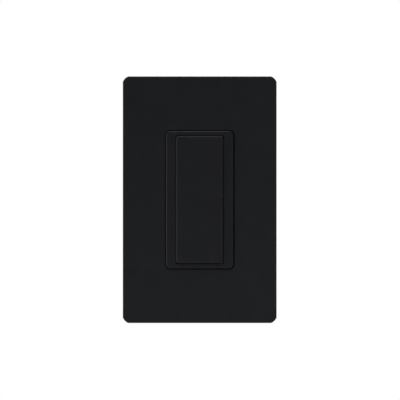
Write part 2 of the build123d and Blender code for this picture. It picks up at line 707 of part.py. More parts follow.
# ================================================================ power board
blade_slot = (3.3, 0.75)
relay_blades = [(1.2, -3.0), (1.6, -23.9)]  # half the width, and z, of the relay's two contact terminals
terminal_leg = (1.0, 3.0)  # x and z
with BuildPart() as power_board:
    board(power_board_front, power_board_height, (3.9, 4.9))
    board_span = (power_board_front + board_thickness, power_board_front)
    for place_xz in all_round_leads:
        rod(lead_radius + 0.08, *board_span, centre=place_xz, mode=Mode.SUBTRACT)
    for side in (1, -1):
        slot_centre = (side * rivet_x, blade_z - blade_thickness / 2)
        block(*blade_slot, *board_span, centre=slot_centre, mode=Mode.SUBTRACT)
    for side, z in terminal_places:
        leg_centre = (side * (pocket_floor + terminal_leg[0] / 2), z)
        block(terminal_leg[0] + 0.3, terminal_leg[1] + 0.4, *board_span, centre=leg_centre, mode=Mode.SUBTRACT)
    for half_width, z in relay_blades:
        block(2 * half_width + 0.6, 0.9, *board_span, centre=(relay_centre[0], z), mode=Mode.SUBTRACT)
write(power_board, "power_board")

relay_seat = power_board_front
relay_x = relay_centre[0]
relay_base_front = relay_seat - 1.4
coil_z = -8.8
yoke_foot = relay_seat - 2.6
yoke_half_width = 4.6
coil_front = relay_seat - 10.4
yoke_tip = relay_seat - 11.1
hinge_z = -2.1
armature_open = 3.0
with BuildPart() as relay_base:
    block(12.0, 24.2, relay_seat, relay_base_front, centre=relay_centre, radius=0.5)
    for place_xz in relay_coil_leads:
        rod(lead_radius + 0.03, relay_seat, relay_base_front, centre=place_xz, mode=Mode.SUBTRACT)
    for half_width, z in relay_blades:
        block(2 * half_width + 0.2, 0.6, relay_seat, relay_base_front, centre=(relay_x, z), mode=Mode.SUBTRACT)
write(relay_base, "relay_base")

relay_top = relay_seat - 14.2
with BuildPart() as relay_cover:
    block(13.6, 25.8, relay_seat, relay_top, centre=relay_centre, radius=1.2)
    fillet(edges_at(relay_cover, relay_top), radius=0.6)
    block(12.1, 24.3, relay_seat, relay_top + 0.7, centre=relay_centre, radius=0.55, mode=Mode.SUBTRACT)
write(relay_cover, "relay_cover")

with BuildPart() as relay_yoke:
    across = (relay_x - yoke_half_width, relay_x + yoke_half_width)
    span_block(across, (yoke_foot, relay_base_front), (coil_z - 5.2, hinge_z))
    span_block(across, (yoke_tip, relay_base_front), (hinge_z - 1.2, hinge_z))
    rod(1.4, relay_base_front, yoke_foot, centre=(relay_x, coil_z), mode=Mode.SUBTRACT)
    half_width, z = relay_blades[0]
    span_block((relay_x - half_width, relay_x + half_width), (relay_base_front, lead_end), (z - 0.25, z + 0.25))
write(relay_yoke, "relay_yoke")

with BuildPart() as relay_core:
    for radius, rear, front in (
        (2.7, coil_front, yoke_tip + 0.05),
        (1.8, yoke_foot, coil_front),
        (1.38, relay_base_front, yoke_foot),
    ):
        rod(radius, rear, front, centre=(relay_x, coil_z))
write(relay_core, "relay_core")

bobbin_flange = 0.6
bobbin_radius = 2.6
with BuildPart() as relay_bobbin:
    for rear in (yoke_foot, coil_front + bobbin_flange):
        block(10.2, 10.2, rear, rear - bobbin_flange, centre=(relay_x, coil_z), radius=0.8)
    rod(bobbin_radius, yoke_foot, coil_front, centre=(relay_x, coil_z))
    rod(1.83, yoke_foot, coil_front, centre=(relay_x, coil_z), mode=Mode.SUBTRACT)
write(relay_bobbin, "relay_bobbin")

with BuildPart() as relay_coil:
    coil_span = (yoke_foot - bobbin_flange, coil_front + bobbin_flange)
    rod(4.8, *coil_span, centre=(relay_x, coil_z))
    rod(bobbin_radius, *coil_span, centre=(relay_x, coil_z), mode=Mode.SUBTRACT)
write(relay_coil, "relay_coil")

with BuildPart() as relay_coil_pins:
    leads(relay_coil_leads, relay_seat - 3.4)
write(relay_coil_pins, "relay_coil_pins")

# the armature and its contact spring are drawn closed, then swung open about the yoke's tip
hinge_line = Axis((0, yoke_tip, hinge_z), (1, 0, 0))
armature_front = yoke_tip - 1.1
spring_rivet_z = -10.6
with BuildPart() as closed_armature:
    block(2 * yoke_half_width, 12.6, yoke_tip, armature_front, centre=(relay_x, hinge_z - 6.3), radius=0.4)
    for side in (1, -1):
        rod(0.5, armature_front, yoke_tip - 1.6, centre=(relay_x + side * 2.0, spring_rivet_z))
with BuildPart() as relay_armature:
    add(closed_armature.part.rotate(hinge_line, -armature_open))
write(relay_armature, "relay_armature")

spring_front = yoke_tip - 1.3
contact_z = -20.4
contact_radius = 1.4
with BuildPart() as closed_spring:
    block(5.6, 13.2, armature_front, spring_front, centre=(relay_x, -15.4), radius=0.5)
    for side in (1, -1):
        rivet = (relay_x + side * 2.0, spring_rivet_z)
        rod(0.52, armature_front, spring_front, centre=rivet, mode=Mode.SUBTRACT)
    rod(contact_radius, yoke_tip - 0.5, armature_front, centre=(relay_x, contact_z))
with BuildPart() as relay_moving_contact:
    add(closed_spring.part.rotate(hinge_line, -armature_open))
write(relay_moving_contact, "relay_moving_contact")

with BuildPart() as relay_fixed_contact:
    half_width, z = relay_blades[1]
    carrier_front = yoke_tip + 0.1
    rod(contact_radius, carrier_front, yoke_tip - 0.45, centre=(relay_x, contact_z))
    carrier_height = (z - 0.25, contact_z + 1.9)
    span_block((relay_x - 2.2, relay_x + 2.2), (carrier_front, carrier_front + 0.5), carrier_height)
    span_block((relay_x - half_width, relay_x + half_width), (carrier_front, lead_end), (z - 0.25, z + 0.25))
write(relay_fixed_contact, "relay_fixed_contact")

with BuildPart() as film_capacitor:
    film_front = power_board_front - 12.5
    block(8.0, 18.0, power_board_front, film_front, centre=film_capacitor_centre, radius=0.4)
    fillet(edges_at(film_capacitor, film_front), radius=0.4)
    leads(film_capacitor_leads, power_board_front)
write(film_capacitor, "film_capacitor")

with BuildPart() as electrolytic_capacitors:
    for centre, radius, height, spread in electrolytics:
        rear, front = power_board_front, power_board_front - height
        rod(radius - 0.35, rear, front, centre=centre)
        rod(radius, rear - 2.2, front, centre=centre)
        rod(radius, rear, rear - 1.3, centre=centre)
        for angle in (0, 90):
            with BuildSketch(facing(front + 0.2)) as score:
                with Locations(Location((centre[0], centre[1], 0), angle)):
                    Rectangle(1.3 * radius, 0.25)
            extrude(score.sketch, amount=0.3, mode=Mode.SUBTRACT)
    leads(electrolytic_leads, power_board_front)
write(electrolytic_capacitors, "electrolytic_capacitors")

choke_rear, choke_front = power_board_front - 0.5, power_board_front - 9.5
choke_flange = 1.3
choke_core_radius = 2.0
with BuildPart() as choke_core:
    for rear in (choke_rear, choke_front + choke_flange):
        rod(4.1, rear, rear - choke_flange, centre=choke_centre)
    rod(choke_core_radius, choke_rear, choke_front, centre=choke_centre)
write(choke_core, "choke_core")

with BuildPart() as choke_winding:
    winding_span = (choke_rear - choke_flange, choke_front + choke_flange)
    rod(3.7, *winding_span, centre=choke_centre)
    rod(choke_core_radius, *winding_span, centre=choke_centre, mode=Mode.SUBTRACT)
write(choke_winding, "choke_winding")

with BuildPart() as choke_pins:
    leads(choke_leads, choke_rear)
write(choke_pins, "choke_pins")

with BuildPart() as varistor:
    varistor_x, varistor_z = varistor_centre
    long_rod(4.2, varistor_z - 1.8, varistor_z + 1.8, varistor_x, power_board_front - 6.2)
    fillet(varistor.edges().filter_by(GeomType.CIRCLE), radius=1.2)
    leads(varistor_leads, power_board_front - 3.2)
write(varistor, "varistor")

with BuildPart() as fusible_resistor:
    resistor_depth = power_board_front - 2.2
    resistor_x, resistor_z = resistor_centre
    cross_rod(1.5, resistor_x - 4.0, resistor_x + 4.0, resistor_depth, resistor_z)
    for side in (1, -1):
        for radius, inner, outer in ((1.75, 2.6, 4.3), (lead_radius, 4.0, 6.5)):
            along = sorted((resistor_x + side * inner, resistor_x + side * outer))
            cross_rod(radius, *along, resistor_depth, resistor_z)
    leads(resistor_leads, resistor_depth)
write(fusible_resistor, "fusible_resistor")

with BuildPart() as bridge_rectifier:
    rectifier_front = power_board_front - 3.6
    block(8.0, 6.0, power_board_front - 0.6, rectifier_front, centre=rectifier_centre, radius=0.3)
    chamfer(edges_at(bridge_rectifier, rectifier_front), length=0.3)
    leads(rectifier_leads, power_board_front - 1.0)
write(bridge_rectifier, "bridge_rectifier")

transformer_x, transformer_z = transformer_centre
transformer_rear = power_board_front - 1.2
with BuildPart() as transformer_core:
    # two ferrite E halves, meeting around the bobbin
    block(12.0, 3.2, transformer_rear, transformer_rear - 9.8, centre=transformer_centre)
    for side in (1, -1):
        winding_window = (transformer_x + side * 2.95, transformer_z)
        block(3.5, 4.0, transformer_rear - 1.9, transformer_rear - 7.9, centre=winding_window,
              mode=Mode.SUBTRACT)
write(transformer_core, "transformer_core")

bobbin_hole = (2.5, 3.3)
bobbin_sleeve = (4.1, 4.9)
bobbin_flanges = (transformer_rear - 1.95, transformer_rear - 7.2)
with BuildPart() as transformer_bobbin:
    for rear in bobbin_flanges:
        block(6.9, 9.6, rear, rear - 0.6, centre=transformer_centre, radius=0.3)
    block(*bobbin_sleeve, bobbin_flanges[0], bobbin_flanges[1] - 0.6, centre=transformer_centre)
    for side in UP_DOWN:
        span_block((transformer_x - 4.8, transformer_x + 4.8), (bobbin_flanges[0] - 0.6, power_board_front),
                   sorted((transformer_z + side * 4.3, transformer_z + side * 6.2)))
    block(*bobbin_hole, power_board_front, bobbin_flanges[1] - 1, centre=transformer_centre, mode=Mode.SUBTRACT)
    for place_xz in transformer_leads:
        rod(lead_radius, power_board_front, bobbin_flanges[0], centre=place_xz, mode=Mode.SUBTRACT)
write(transformer_bobbin, "transformer_bobbin")

with BuildPart() as transformer_winding:
    winding_span = (bobbin_flanges[0] - 0.6, bobbin_flanges[1])
    block(6.6, 8.4, *winding_span, centre=transformer_centre, radius=1.4)
    block(*bobbin_sleeve, *winding_span, centre=transformer_centre, mode=Mode.SUBTRACT)
write(transformer_winding, "transformer_winding")

with BuildPart() as transformer_pins:
    leads(transformer_leads, bobbin_flanges[0])
write(transformer_pins, "transformer_pins")

# ================================================================ housing behind the wall
half_body_width = body_width / 2
inside_width, inside_height = body_width - 2 * enclosure_wall, body_height - 2 * enclosure_wall
inside_radius = body_radius - enclosure_wall
pocket_span = (terminal_depth - pocket_half_depth, terminal_depth + pocket_half_depth)
screw_well_radius = 3.5
with BuildPart() as middle_housing:
    block(body_width, body_height, housing_rear, flange_rear, radius=body_radius)
    chamfer(edges_at(middle_housing, housing_rear) + edges_at(middle_housing, flange_rear), length=seam_chamfer)
    block(inside_width, inside_height, housing_rear, flange_rear, radius=inside_radius, mode=Mode.SUBTRACT)
    for side_x, side_z in FOUR_WAYS:
        screw_place = (side_x * body_screw[0], side_z * body_screw[1])
        rod(tower_radius, housing_rear, flange_rear, centre=screw_place)
        rod(screw_clearance, housing_rear, flange_rear, centre=screw_place, mode=Mode.SUBTRACT)
        # ribs the power board's front rests on
        span_block(sorted((side_x * 8.6, side_x * 10.0)), (8.0, power_board_front),
                   sorted((side_z * (inside_height / 2 - 1.0), side_z * (inside_height / 2 + 0.5))))
    for side, z in terminal_places:
        x_wall = sorted((side * (pocket_floor - pocket_wall), side * (half_body_width - 0.5)))
        y_wall = (pocket_span[0] - pocket_wall, pocket_span[1] + pocket_wall)
        z_wall = (z - pocket_half_height - pocket_wall, z + pocket_half_height + pocket_wall)
        span_block(x_wall, y_wall, z_wall)
        cross_rod(screw_well_radius, *sorted((side * 11.0, side * pocket_floor)), terminal_depth, z)
        span_block(sorted((side * pocket_floor, side * (half_body_width + 1))), pocket_span,
                   (z - pocket_half_height, z + pocket_half_height), mode=Mode.SUBTRACT)
        cross_rod(2.3, *sorted((side * 11.8, side * pocket_floor)), terminal_depth, z, mode=Mode.SUBTRACT)
        # the slot that each terminal's leg passes through
        slot_depth = (pocket_span[1] - 1, pocket_span[1] + pocket_wall + 1)
        slot_half = terminal_leg[1] / 2 + 0.1
        span_block(sorted((side * pocket_floor, side * (pocket_floor + 1.1))), slot_depth,
                   (z - slot_half, z + slot_half), mode=Mode.SUBTRACT)
write(middle_housing, "middle_housing")

label_size = (26.0, 40.0)
label_front = enclosure_rear - 0.15
with BuildPart() as back_cover:
    block(body_width, body_height, enclosure_rear, housing_rear, radius=body_radius)
    fillet(edges_at(back_cover, enclosure_rear), radius=1.2)
    chamfer(edges_at(back_cover, housing_rear), length=seam_chamfer)
    block(inside_width, inside_height, enclosure_inside, housing_rear, radius=inside_radius, mode=Mode.SUBTRACT)
    lip_front = power_board_front + board_thickness
    block(inside_width - 0.1, inside_height - 0.1, enclosure_inside, lip_front, radius=1.1)
    block(inside_width - 2.4, inside_height - 2.4, enclosure_inside, lip_front, radius=1.1, mode=Mode.SUBTRACT)
    for side_x, side_z in FOUR_WAYS:
        screw_place = (side_x * body_screw[0], side_z * body_screw[1])
        # the locating lip stops short of the housing's screw towers
        rod(tower_radius + 0.2, housing_rear, lip_front, centre=screw_place, mode=Mode.SUBTRACT)
        rod(tower_radius, enclosure_inside, housing_rear, centre=screw_place)
        rod(screw_clearance, enclosure_rear, housing_rear, centre=screw_place, mode=Mode.SUBTRACT)
        rod(2.5, enclosure_rear, enclosure_inside, centre=screw_place, mode=Mode.SUBTRACT)
    block(*label_size, enclosure_rear, label_front, mode=Mode.SUBTRACT)
write(back_cover, "back_cover")

with BuildPart() as rating_label:
    block(label_size[0] - 0.4, label_size[1] - 0.4, enclosure_rear - 0.03, label_front, radius=0.8)
write(rating_label, "rating_label")

sheet_size, sheet_thickness = (28.0, 56.0), 0.4
with BuildPart() as insulating_sheet:
    block(*sheet_size, enclosure_inside, enclosure_inside - sheet_thickness, radius=1.0)
write(insulating_sheet, "insulating_sheet")

enclosure_head = 1.6
with BuildPart() as enclosure_screws:
    one = pan_screw(2.2, enclosure_head, 1.0, 0.2, 1.1, 29.1)
    head_rear = enclosure_inside + enclosure_head
    corners = [(side_x * body_screw[0], side_z * body_screw[1]) for side_x, side_z in FOUR_WAYS]
    place(one, [looking_back(head_rear, x, z) for x, z in corners])
write(enclosure_screws, "enclosure_screws")

# ================================================================ terminals
plate_thickness = 1.0
clamp_thickness = 1.2
terminal_hole = 2.02
plate_half_depth, plate_half_height = 5.2, 5.0
clamp_half = 4.3
wire_groove_offset, wire_groove_half = 3.1, 0.6
with BuildPart() as terminal_plates:
    for side, z in terminal_places:
        across = sorted((side * pocket_floor, side * (pocket_floor + plate_thickness)))
        span_block(across, (terminal_depth - plate_half_depth, terminal_depth + plate_half_depth),
                   (z - plate_half_height, z + plate_half_height))
        span_block(across, (terminal_depth, lead_end), (z - terminal_leg[1] / 2, z + terminal_leg[1] / 2))
        cross_rod(terminal_hole, *across, terminal_depth, z, mode=Mode.SUBTRACT)
write(terminal_plates, "terminal_plates")

clamp_face = pocket_floor + plate_thickness + clamp_thickness
with BuildPart() as clamp_plates:
    for side, z in terminal_places:
        across = sorted((side * (pocket_floor + plate_thickness), side * clamp_face))
        clamp_depth = (terminal_depth - clamp_half, terminal_depth + clamp_half)
        span_block(across, clamp_depth, (z - clamp_half, z + clamp_half))
        cross_rod(2.15, *across, terminal_depth, z, mode=Mode.SUBTRACT)
        # grooves that grip the wires' ends
        clamp_inside = pocket_floor + plate_thickness
        groove = sorted((side * clamp_inside, side * (clamp_inside + 0.5)))
        for groove_side in UP_DOWN:
            groove_z = z + groove_side * wire_groove_offset
            groove_height = (groove_z - wire_groove_half, groove_z + wire_groove_half)
            span_block(groove, clamp_depth, groove_height, mode=Mode.SUBTRACT)
write(clamp_plates, "clamp_plates")

terminal_head = 2.4
with BuildPart() as terminal_screws:
    one = pan_screw(3.7, terminal_head, 1.9, 0.2, 2.0, 4.9)
    head_face = clamp_face + terminal_head
    terminal_planes = [
        Plane(origin=(side * head_face, terminal_depth, z), x_dir=(0, 1, 0), z_dir=(side, 0, 0))
        for side, z in terminal_places
    ]
    place(one, terminal_planes)
write(terminal_screws, "terminal_screws")
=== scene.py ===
"""Materials, fine detail, light and camera for the rocker wall switch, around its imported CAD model.

Everything is in metres, in the CAD's own frame: +Z up, the switch faces -Y, and the wall's surface is
at y = 0.
"""

import math

import bmesh
import bpy
from mathutils import Matrix, Vector
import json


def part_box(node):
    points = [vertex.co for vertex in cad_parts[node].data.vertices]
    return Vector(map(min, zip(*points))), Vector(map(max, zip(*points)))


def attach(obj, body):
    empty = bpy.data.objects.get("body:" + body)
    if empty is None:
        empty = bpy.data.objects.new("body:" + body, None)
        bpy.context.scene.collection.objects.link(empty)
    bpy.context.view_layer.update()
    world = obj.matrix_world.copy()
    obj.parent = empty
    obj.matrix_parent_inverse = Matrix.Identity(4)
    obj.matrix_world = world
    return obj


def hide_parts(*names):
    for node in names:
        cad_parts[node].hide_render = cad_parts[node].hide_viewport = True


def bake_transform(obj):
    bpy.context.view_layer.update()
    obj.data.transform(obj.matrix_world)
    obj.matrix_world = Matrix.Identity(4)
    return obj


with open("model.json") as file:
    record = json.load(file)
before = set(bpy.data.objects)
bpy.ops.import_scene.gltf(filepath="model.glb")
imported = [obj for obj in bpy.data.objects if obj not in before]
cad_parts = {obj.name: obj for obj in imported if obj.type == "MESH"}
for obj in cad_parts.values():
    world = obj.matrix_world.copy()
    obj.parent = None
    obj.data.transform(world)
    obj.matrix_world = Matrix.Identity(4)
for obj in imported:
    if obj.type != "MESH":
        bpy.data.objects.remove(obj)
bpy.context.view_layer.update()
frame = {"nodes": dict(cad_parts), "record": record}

MM = 0.001


# ---------------------------------------------------------------- materials
class Surface:
    """A Principled material whose look comes from procedural textures in real units."""

    def __init__(self, name, color, roughness, metallic=0.0):
        self.material = bpy.data.materials.new(name)
        self.material.use_nodes = True
        self.nodes = self.material.node_tree.nodes
        self.links = self.material.node_tree.links
        self.shader = self.nodes["Principled BSDF"]
        self.shader.inputs["Metallic"].default_value = metallic
        self.place = self.nodes.new("ShaderNodeTexCoord").outputs["Object"]
        self.color = self.constant_color(color)
        self.roughness = roughness
        self.normal = None
        self.shader.inputs["Roughness"].default_value = roughness

    def constant_color(self, color):
        self.shader.inputs["Base Color"].default_value = (*color, 1)
        return color

    def stretched(self, stretch):
        """The object's coordinates, scaled along each axis."""
        scaled = self.nodes.new("ShaderNodeVectorMath")
        scaled.operation = "MULTIPLY"
        scaled.inputs[1].default_value = stretch
        self.links.new(self.place, scaled.inputs[0])
        return scaled.outputs[0]

    def noise(self, size, detail=2.0, stretch=(1, 1, 1)):
        """Noise whose features measure about size metres."""
        texture = self.nodes.new("ShaderNodeTexNoise")
        texture.inputs["Scale"].default_value = 1 / size
        texture.inputs["Detail"].default_value = detail
        self.links.new(self.stretched(stretch), texture.inputs["Vector"])
        return texture.outputs["Fac"]

    def cells(self, size, metric="EUCLIDEAN", stretch=(1, 1, 1)):
        """Voronoi distances whose cells measure about size metres."""
        texture = self.nodes.new("ShaderNodeTexVoronoi")
        texture.distance = metric
        texture.inputs["Scale"].default_value = 1 / size
        self.links.new(self.stretched(stretch), texture.inputs["Vector"])
        return texture.outputs["Distance"]

    def remap(self, value, low, high, to_low=0.0, to_high=1.0):
        """The value, mapped from one range to another and clamped."""
        node = self.nodes.new("ShaderNodeMapRange")
        for socket, number in zip(node.inputs[1:5], (low, high, to_low, to_high)):
            socket.default_value = number
        self.links.new(value, node.inputs[0])
        return node.outputs[0]

    def facing(self, axis, sign, threshold=0.8, blur=0.02):
        """1 where the surface faces along an axis, and 0 elsewhere."""
        split = self.nodes.new("ShaderNodeSeparateXYZ")
        self.links.new(self.nodes["Texture Coordinate"].outputs["Normal"], split.inputs[0])
        signed = self.nodes.new("ShaderNodeMath")
        signed.operation = "MULTIPLY"
        signed.inputs[1].default_value = sign
        self.links.new(split.outputs["XYZ".index(axis)], signed.inputs[0])
        return self.remap(signed.outputs[0], threshold - blur, threshold + blur)

    def distance(self):
        """How far a point is from the object's origin, in metres."""
        length = self.nodes.new("ShaderNodeVectorMath")
        length.operation = "LENGTH"
        self.links.new(self.place, length.inputs[0])
        return length.outputs["Value"]

    def glow(self, value, low, high, strength):
        """White light given off, from none where the value is low to that strength where it is high."""
        self.shader.inputs["Emission Color"].default_value = (1, 1, 1, 1)
        given = self.remap(value, low, high, 0.0, strength)
        self.links.new(given, self.shader.inputs["Emission Strength"])
        return self

    def bare_metal(self, factor, color, roughness):
        """Turns the surface to bare metal where the factor is 1."""
        self.tint(factor, color)
        self.links.new(factor, self.shader.inputs["Metallic"])
        mixed = self.remap(factor, 0, 1, self.roughness, roughness)
        self.links.new(mixed, self.shader.inputs["Roughness"])
        return self

    def tint(self, factor, color):
        """Mixes a second colour in by a factor."""
        mix = self.nodes.new("ShaderNodeMix")
        mix.data_type = "RGBA"
        self.links.new(factor, mix.inputs["Factor"])
        if isinstance(self.color, tuple):
            mix.inputs["A"].default_value = (*self.color, 1)
        else:
            self.links.new(self.color, mix.inputs["A"])
        mix.inputs["B"].default_value = (*color, 1)
        self.color = mix.outputs["Result"]
        self.links.new(self.color, self.shader.inputs["Base Color"])
        return self

    def gloss(self, value, low, high):
        """Roughness that follows a value, from low where it is 0.3 to high where it is 0.7."""
        self.links.new(self.remap(value, 0.3, 0.7, low, high), self.shader.inputs["Roughness"])
        return self

    def relief(self, height, depth):
        """Bumps of that depth in metres, added to any made before."""
        bump = self.nodes.new("ShaderNodeBump")
        bump.inputs["Distance"].default_value = depth
        bump.inputs["Strength"].default_value = 1.0
        self.links.new(height, bump.inputs["Height"])
        if self.normal:
            self.links.new(self.normal, bump.inputs["Normal"])
        self.normal = bump.outputs["Normal"]
        self.links.new(self.normal, self.shader.inputs["Normal"])
        return self

    def set(self, **sockets):
        """Constant values on the shader's own sockets."""
        for name, value in sockets.items():
            self.shader.inputs[name.replace("_", " ")].default_value = value
        return self


def scaled(color, factor, lift=0.0):
    """A colour made lighter or darker, no brighter than white."""
    return tuple(min(1.0, channel * factor + lift) for channel in color)


def moulded_plastic(name, color, roughness, grain=0.28 * MM, depth=0.006 * MM):
    """Spark-eroded moulded plastic: a fine grain, faint flow marks and slightly uneven gloss."""
    flow_marks, gloss_patches = 9 * MM, 2.2 * MM
    surface = Surface(name, color, roughness)
    surface.tint(surface.remap(surface.noise(flow_marks, 4), 0.35, 0.75), scaled(color, 1.16, 0.0004))
    surface.gloss(surface.noise(gloss_patches, 5), roughness - 0.04, roughness + 0.05)
    surface.relief(surface.cells(grain), depth)
    surface.relief(surface.noise(grain * 0.5, 3), depth * 0.6)
    return surface


def printed_film(name, color):
    """Matt polyester label stock with a fine fibre and a little handling wear."""
    fibre, wear, surface_grain = 0.35 * MM, 1.5 * MM, 0.2 * MM
    surface = Surface(name, color, 0.45)
    surface.tint(surface.remap(surface.noise(fibre, 4), 0.4, 0.8), scaled(color, 0.93))
    surface.gloss(surface.noise(wear, 5), 0.38, 0.52)
    surface.relief(surface.noise(surface_grain, 3), 0.002 * MM)
    return surface


def plated_steel(name, color, roughness, grain_axis="X", scratch=0.004 * MM):
    """Rolled metal with a thin plating: drawn scratches along an axis, spangle and a little tarnish."""
    tarnish, spangle, streak, scratch_width = 3 * MM, 2.5 * MM, 0.5 * MM, 0.12 * MM
    stretch = tuple(0.04 if axis == grain_axis else 1.0 for axis in "XYZ")
    surface = Surface(name, color, roughness, metallic=1.0)
    surface.tint(surface.remap(surface.noise(tarnish, 5), 0.45, 0.8), scaled(color, 0.72))
    surface.tint(surface.remap(surface.cells(spangle), 0.0, 0.9), scaled(color, 1.12))
    surface.gloss(surface.noise(streak, 4, stretch), roughness - 0.1, roughness + 0.14)
    surface.relief(surface.noise(scratch_width, 3, stretch), scratch)
    return surface


def wound_wire(name, color, roughness, pitch):
    """Enamelled wire, lightly varied from turn to turn."""
    along_turns = (0.2, 1, 0.2)
    surface = Surface(name, color, roughness, metallic=1.0)
    surface.tint(surface.noise(pitch, 2, along_turns), scaled(color, 0.5))
    surface.gloss(surface.noise(1 * MM, 3), roughness - 0.05, roughness + 0.1)
    surface.relief(surface.noise(pitch * 0.5, 2, along_turns), 0.01 * MM)
    return surface


def sleeved_can(name, color):
    """A shrunk plastic sleeve with the aluminium of the can's end showing."""
    aluminium = (0.8, 0.8, 0.79)
    surface = moulded_plastic(name, color, 0.25, 0.5 * MM, 0.003 * MM)
    surface.bare_metal(surface.facing("Y", -1), aluminium, 0.3)
    return surface


def circuit_board_material():
    """Green solder resist over woven glass, with the copper under it just showing."""
    over_copper = (0.02, 0.14, 0.045)
    track_height = 0.03 * MM
    surface = Surface("circuit_board", (0.012, 0.075, 0.03), 0.3)
    for size, stretch in ((1.1 * MM, (0.1, 0.001, 1)), (1.5 * MM, (1, 0.001, 0.12))):
        tracks = surface.remap(surface.cells(size, "CHEBYCHEV", stretch), 0.3, 0.26)
        surface.tint(tracks, over_copper)
        surface.relief(tracks, track_height)
    surface.gloss(surface.noise(0.6 * MM, 4), 0.22, 0.38)
    surface.relief(surface.noise(0.35 * MM, 2), 0.006 * MM)
    surface.set(Coat_Weight=0.4, Coat_Roughness=0.15)
    return surface


BLACK = (0.0060, 0.0063, 0.0074)
materials = {
    "satin_black_plastic":
        moulded_plastic("satin_black_plastic", BLACK, 0.46).set(Specular_IOR_Level=0.24),
    "adapter_plastic": moulded_plastic("adapter_plastic", (0.014, 0.014, 0.015), 0.55, 0.4 * MM, 0.012 * MM),
    "zinc_plated_steel": plated_steel("zinc_plated_steel", (0.60, 0.60, 0.57), 0.34, "Z"),
    "screw_steel": plated_steel("screw_steel", (0.62, 0.61, 0.58), 0.28, "Y"),
    "green_steel": plated_steel("green_steel", (0.04, 0.26, 0.10), 0.36, "X", 0.0008 * MM),
    "fibre": moulded_plastic("fibre", (0.36, 0.24, 0.12), 0.8, 0.5 * MM, 0.03 * MM),
    "housing_plastic":
        moulded_plastic("housing_plastic", (0.016, 0.016, 0.018), 0.5, 0.45 * MM, 0.015 * MM),
    "label_paper": printed_film("label_paper", (0.72, 0.72, 0.71)),
    "label_ink": moulded_plastic("label_ink", (0.02, 0.02, 0.022), 0.5, 0.1 * MM, 0.001 * MM),
    "insulation": moulded_plastic("insulation", (0.72, 0.66, 0.45), 0.75, 0.3 * MM, 0.02 * MM),
    "silicone": moulded_plastic("silicone", (0.55, 0.55, 0.53), 0.5, 0.4 * MM, 0.004 * MM),
    "carbon": moulded_plastic("carbon", (0.01, 0.01, 0.01), 0.7, 0.1 * MM, 0.01 * MM),
    "gold": plated_steel("gold", (0.85, 0.58, 0.22), 0.22, "X"),
    "circuit_board": circuit_board_material(),
    "chip_epoxy": moulded_plastic("chip_epoxy", (0.012, 0.012, 0.012), 0.6, 0.12 * MM, 0.008 * MM),
    "resistor_ceramic":
        moulded_plastic("resistor_ceramic", (0.015, 0.015, 0.017), 0.25, 0.2 * MM, 0.003 * MM),
    "capacitor_ceramic":
        moulded_plastic("capacitor_ceramic", (0.36, 0.23, 0.12), 0.5, 0.15 * MM, 0.005 * MM),
    "tinned_pin": plated_steel("tinned_pin", (0.78, 0.78, 0.76), 0.25, "Y"),
    "copper": plated_steel("copper", (0.80, 0.42, 0.25), 0.3, "Z", 0.001 * MM),
    "relay_plastic": moulded_plastic("relay_plastic", (0.012, 0.05, 0.2), 0.4, 0.3 * MM, 0.006 * MM),
    "bobbin_nylon": moulded_plastic("bobbin_nylon", (0.75, 0.73, 0.66), 0.45, 0.3 * MM, 0.006 * MM),
    "soft_iron": plated_steel("soft_iron", (0.5, 0.5, 0.5), 0.35, "X"),
    "enamelled_wire": wound_wire("enamelled_wire", (0.55, 0.16, 0.05), 0.25, 0.25 * MM),
    "tape": moulded_plastic("tape", (0.75, 0.5, 0.03), 0.3, 0.8 * MM, 0.01 * MM),
    "ferrite": moulded_plastic("ferrite", (0.03, 0.03, 0.032), 0.45, 0.15 * MM, 0.015 * MM),
    "film_box": moulded_plastic("film_box", (0.7, 0.45, 0.02), 0.35, 0.35 * MM, 0.006 * MM),
    "sleeve": sleeved_can("sleeve", (0.01, 0.014, 0.045)),
    "varistor_blue": moulded_plastic("varistor_blue", (0.015, 0.09, 0.38), 0.3, 0.9 * MM, 0.03 * MM),
    "resistor_lacquer": moulded_plastic("resistor_lacquer", (0.16, 0.30, 0.22), 0.45, 0.3 * MM, 0.01 * MM),
    "terminal_brass": plated_steel("terminal_brass", (0.80, 0.58, 0.24), 0.25, "Y"),
    "terminal_steel": plated_steel("terminal_steel", (0.58, 0.55, 0.45), 0.3, "Y"),
}


def finish_cad_nodes():
    """Gives every CAD node the material of its slot."""
    for part in frame["record"]["subparts"]:
        mesh = frame["nodes"][part["node"]].data
        mesh.materials.clear()
        mesh.materials.append(materials[part["material_slot"]].material)


finish_cad_nodes()


# ---------------------------------------------------------------- making pieces
def islands(node):
    """The box of each separate solid of a CAD node, as (lowest corner, highest corner).

    They come from left to right, then from bottom to top.
    """
    shape = bmesh.new()
    shape.from_mesh(frame["nodes"][node].data)
    bmesh.ops.remove_doubles(shape, verts=shape.verts, dist=1e-6)
    unseen = set(shape.verts)
    boxes = []
    while unseen:
        reached, waiting = set(), [next(iter(unseen))]
        while waiting:
            vertex = waiting.pop()
            if vertex in reached:
                continue
            reached.add(vertex)
            waiting.extend(edge.other_vert(vertex) for edge in vertex.link_edges)
        unseen -= reached
        low = Vector(min(v.co[axis] for v in reached) for axis in range(3))
        high = Vector(max(v.co[axis] for v in reached) for axis in range(3))
        boxes.append((low, high))
    shape.free()
    return sorted(boxes, key=lambda box: (round(box[0].x, 5), round(box[0].z, 5)))


def ring(shape, radius, height, sides, place):
    """A ring of vertices round the local Z axis."""
    vertices = []
    for step in range(sides):
        turn = math.tau * step / sides
        point = Vector((radius * math.cos(turn), radius * math.sin(turn), height))
        vertices.append(shape.verts.new(place @ point))
    return vertices


def stitch(shape, lower, upper):
    """Faces between two rings of as many vertices."""
    for step in range(len(lower)):
        following = (step + 1) % len(lower)
        shape.faces.new((lower[step], lower[following], upper[following], upper[step]))


